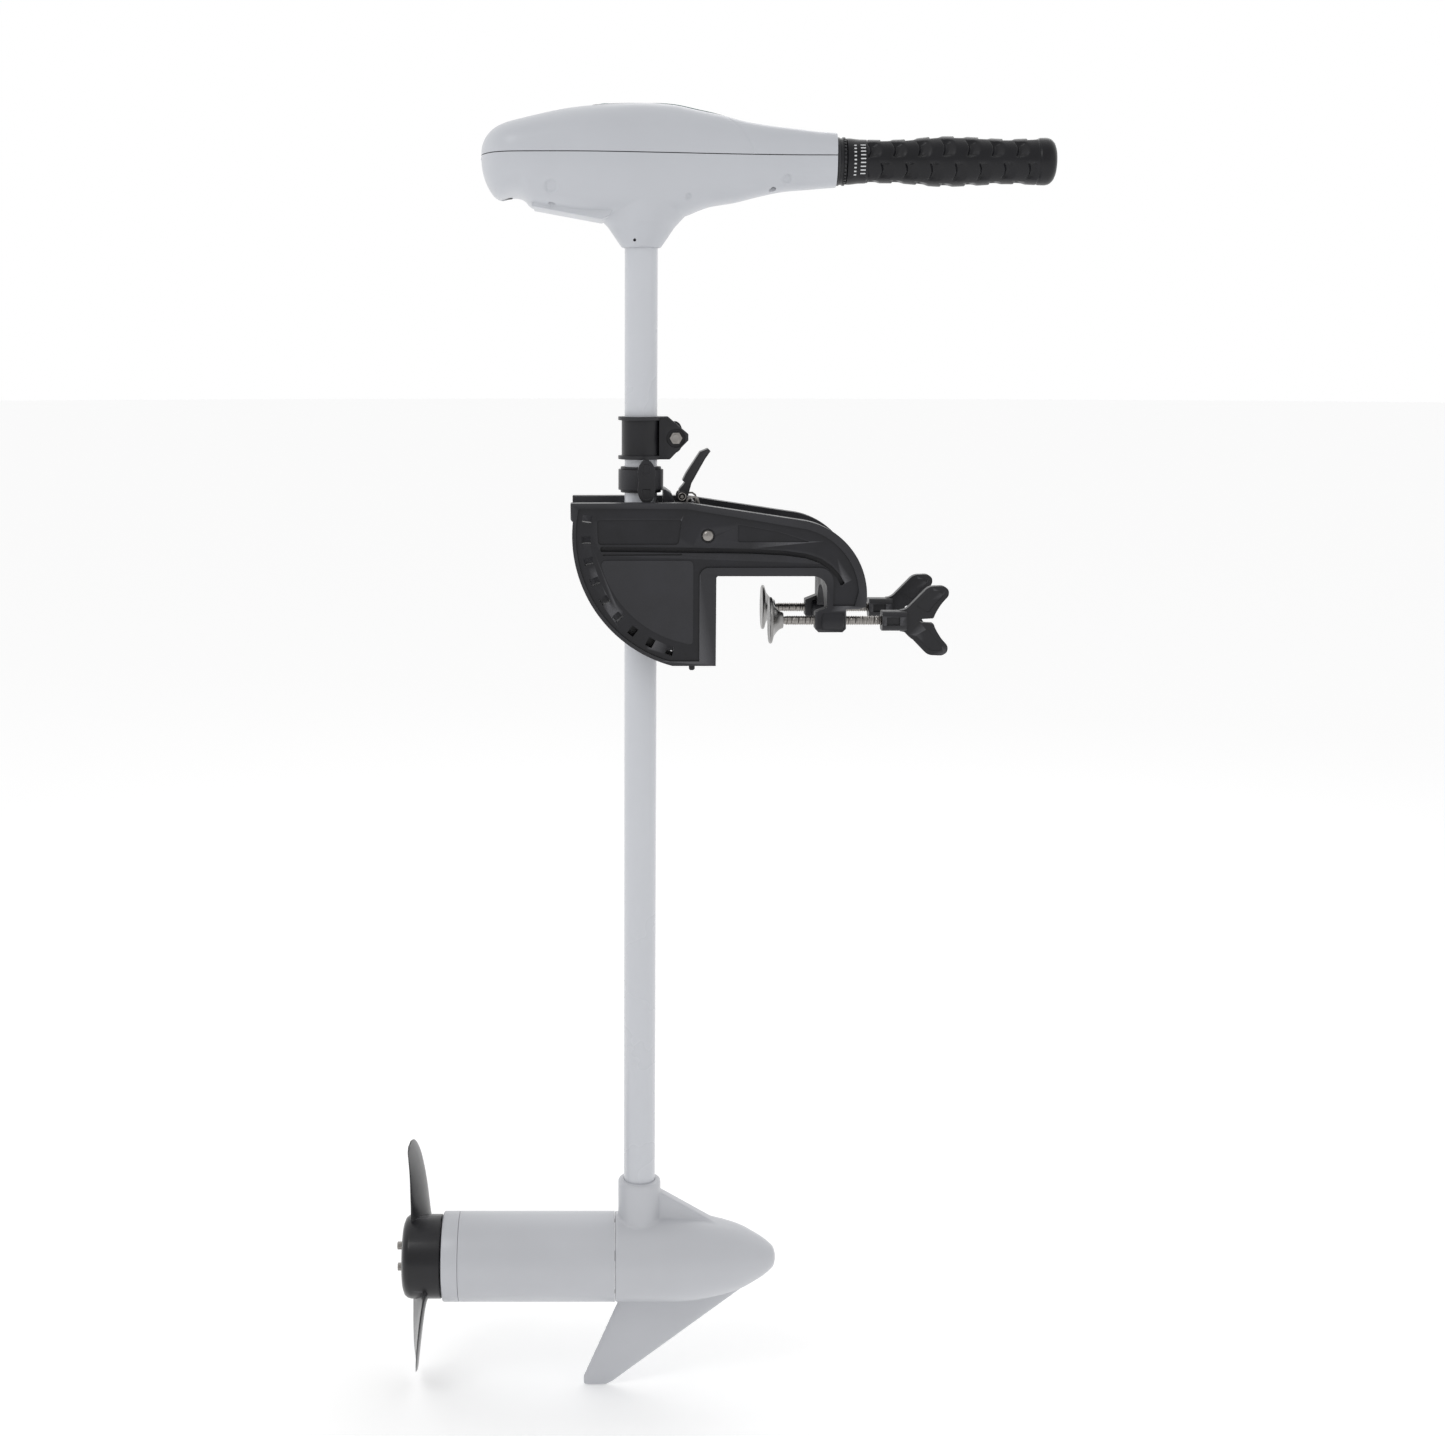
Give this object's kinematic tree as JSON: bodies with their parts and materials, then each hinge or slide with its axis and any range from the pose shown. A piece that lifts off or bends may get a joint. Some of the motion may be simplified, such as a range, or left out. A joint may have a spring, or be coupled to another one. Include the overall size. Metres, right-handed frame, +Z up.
{
  "type": "transom-mount electric trolling motor",
  "caption": "Electric outboard trolling motor: tiller head on a steel tube, toothed tilt bracket with clamp screws, sealed motor pod with skeg and two-blade propeller.",
  "frame": {"origin": "centre of the bracket's bearing face, the flat face that lies against the outside of the transom, at the height of the clamp screws", "axes": "+X inboard, out of the bearing face towards the transom and the tiller; +Z up along the tube; +Y to the far side seen from the near cheek"},
  "size_m": [0.5882, 0.1346, 1.1852],
  "materials": {
    "moulded_black": "fine matt grain, glass-filled",
    "knob_black": "matt, moulded grip wings",
    "shell_white": "pearl white, semi-gloss",
    "tube_white": "white composite tube, gloss",
    "panel_gloss": "gloss black label",
    "button_pale": "satin pale grey",
    "grip_rubber": "soft matt, grooved",
    "rubber_black": "soft matt",
    "bush_plastic": "smooth, slippery",
    "tube_steel": "stainless tube",
    "steel": "stainless, turned or pressed",
    "motor_paint": "semi-gloss white paint on aluminium",
    "prop_plastic": "satin, glass-filled",
    "magnet": "dull ferrite",
    "brass": "sintered bronze",
    "copper": "turned copper",
    "board_green": "laminate circuit board",
    "board_brown": "laminate insulating plate"
  },
  "bodies": {
    "bracket": {"near_cheek": "moulded_black", "far_cheek": "moulded_black", "bracket_bridge": "moulded_black", "pivot_bolt": "steel", "pivot_nut": "steel"},
    "near_pad": {"near_clamp_pad": "steel"},
    "near_screw": {"near_clamp_rod": "steel", "near_clamp_knob": "knob_black"},
    "far_pad": {"far_clamp_pad": "steel"},
    "far_screw": {"far_clamp_rod": "steel", "far_clamp_knob": "knob_black"},
    "hinge": {"tilt_hinge": "moulded_black", "steering_liner": "bush_plastic", "lever_pin": "steel", "lever_spring": "steel"},
    "tension": {"tension_knob": "knob_black"},
    "lever": {"tilt_lever": "moulded_black"},
    "latch": {"latch_bar": "steel"},
    "swivel": {"depth_collar": "moulded_black", "depth_screw": "steel"},
    "depth_wing": {"depth_knob": "knob_black"},
    "motor": {"shaft_tube": "tube_white", "head_housing": "shell_white", "head_cover": "shell_white", "status_panel": "panel_gloss", "button_panel": "panel_gloss", "control_board": "board_green", "speed_switch": "moulded_black", "cable_gland": "rubber_black", "cover_screw_rear_near": "steel", "cover_screw_rear_far": "steel", "cover_screw_front_near": "steel", "cover_screw_front_far": "steel", "nose_ring": "knob_black", "nose_housing": "motor_paint", "motor_can": "motor_paint", "rear_end_bell": "motor_paint", "through_bolt_upper": "steel", "through_bolt_lower": "steel", "magnet_near": "magnet", "magnet_far": "magnet", "rear_bearing": "brass", "front_bearing": "brass", "shaft_seal": "rubber_black", "brush_plate": "board_brown"},
    "button": {"test_button": "button_pale"},
    "twist": {"tiller_tube": "tube_steel"},
    "grip": {"tiller_grip": "grip_rubber"},
    "rotor": {"motor_shaft": "steel", "drive_pin": "steel", "armature": "steel", "commutator": "copper", "propeller": "prop_plastic", "hub_screw_upper": "steel", "hub_screw_lower": "steel"}
  },
  "joints": [
    {"name": "near_pad_travel", "type": "slide", "parent": "bracket", "child": "near_pad", "axis": [1, 0, 0], "range_m": [-0.03, 0.026]},
    {"name": "near_screw_turn", "type": "hinge", "parent": "near_pad", "child": "near_screw", "pos_m": [0.0465, -0.047, 0], "axis": [1, 0, 0], "range_deg": [-4700, 5420]},
    {"name": "far_pad_travel", "type": "slide", "parent": "bracket", "child": "far_pad", "axis": [1, 0, 0], "range_m": [-0.03, 0.026]},
    {"name": "far_screw_turn", "type": "hinge", "parent": "far_pad", "child": "far_screw", "pos_m": [0.0465, 0.047, 0], "axis": [1, 0, 0], "range_deg": [-4700, 5420]},
    {"name": "tilt", "type": "hinge", "parent": "bracket", "child": "hinge", "pos_m": [-0.0075, 0, 0.0745], "axis": [0, 1, 0], "range_deg": [0, 80]},
    {"name": "tension_turn", "type": "hinge", "parent": "hinge", "child": "tension", "pos_m": [-0.0608, -0.03, 0.12045], "axis": [0, 1, 0], "range_deg": [-180, 180]},
    {"name": "lever_pull", "type": "hinge", "parent": "hinge", "child": "lever", "pos_m": [-0.029, 0, 0.106], "axis": [0, 1, 0], "range_deg": [0, 30]},
    {"name": "latch_travel", "type": "slide", "parent": "hinge", "child": "latch", "axis": [-0.309, 0, -0.9511], "range_m": [0, 0.005]},
    {"name": "steering", "type": "hinge", "parent": "hinge", "child": "swivel", "pos_m": [-0.0652, 0, 0.1385], "axis": [0, 0, 1], "continuous": true},
    {"name": "depth_wing_turn", "type": "hinge", "parent": "swivel", "child": "depth_wing", "pos_m": [-0.0344, 0, 0.15725], "axis": [0, 1, 0], "range_deg": [-180, 180]},
    {"name": "depth", "type": "slide", "parent": "swivel", "child": "motor", "axis": [0, 0, 1], "range_m": [-0.13, 0.38]},
    {"name": "button_press", "type": "slide", "parent": "motor", "child": "button", "axis": [0, 0, -1], "range_m": [0, 0.001], "stiffness_N_per_m": 400},
    {"name": "tiller_twist", "type": "hinge", "parent": "motor", "child": "twist", "pos_m": [0.1035, 0, 0.3962], "axis": [1, 0, 0], "range_deg": [-90, 135]},
    {"name": "tiller_extend", "type": "slide", "parent": "twist", "child": "grip", "axis": [1, 0, 0], "range_m": [0, 0.1]},
    {"name": "prop_spin", "type": "hinge", "parent": "motor", "child": "rotor", "pos_m": [-0.2507, 0, -0.611], "axis": [1, 0, 0], "continuous": true}
  ],
  "couplings": [
    {"joint": "near_screw_turn", "follows": "near_pad_travel", "rad_per_m": -3141.6},
    {"joint": "far_screw_turn", "follows": "far_pad_travel", "rad_per_m": -3141.6},
    {"joint": "latch_travel", "follows": "lever_pull", "m_per_rad": 0.0095493}
  ]
}
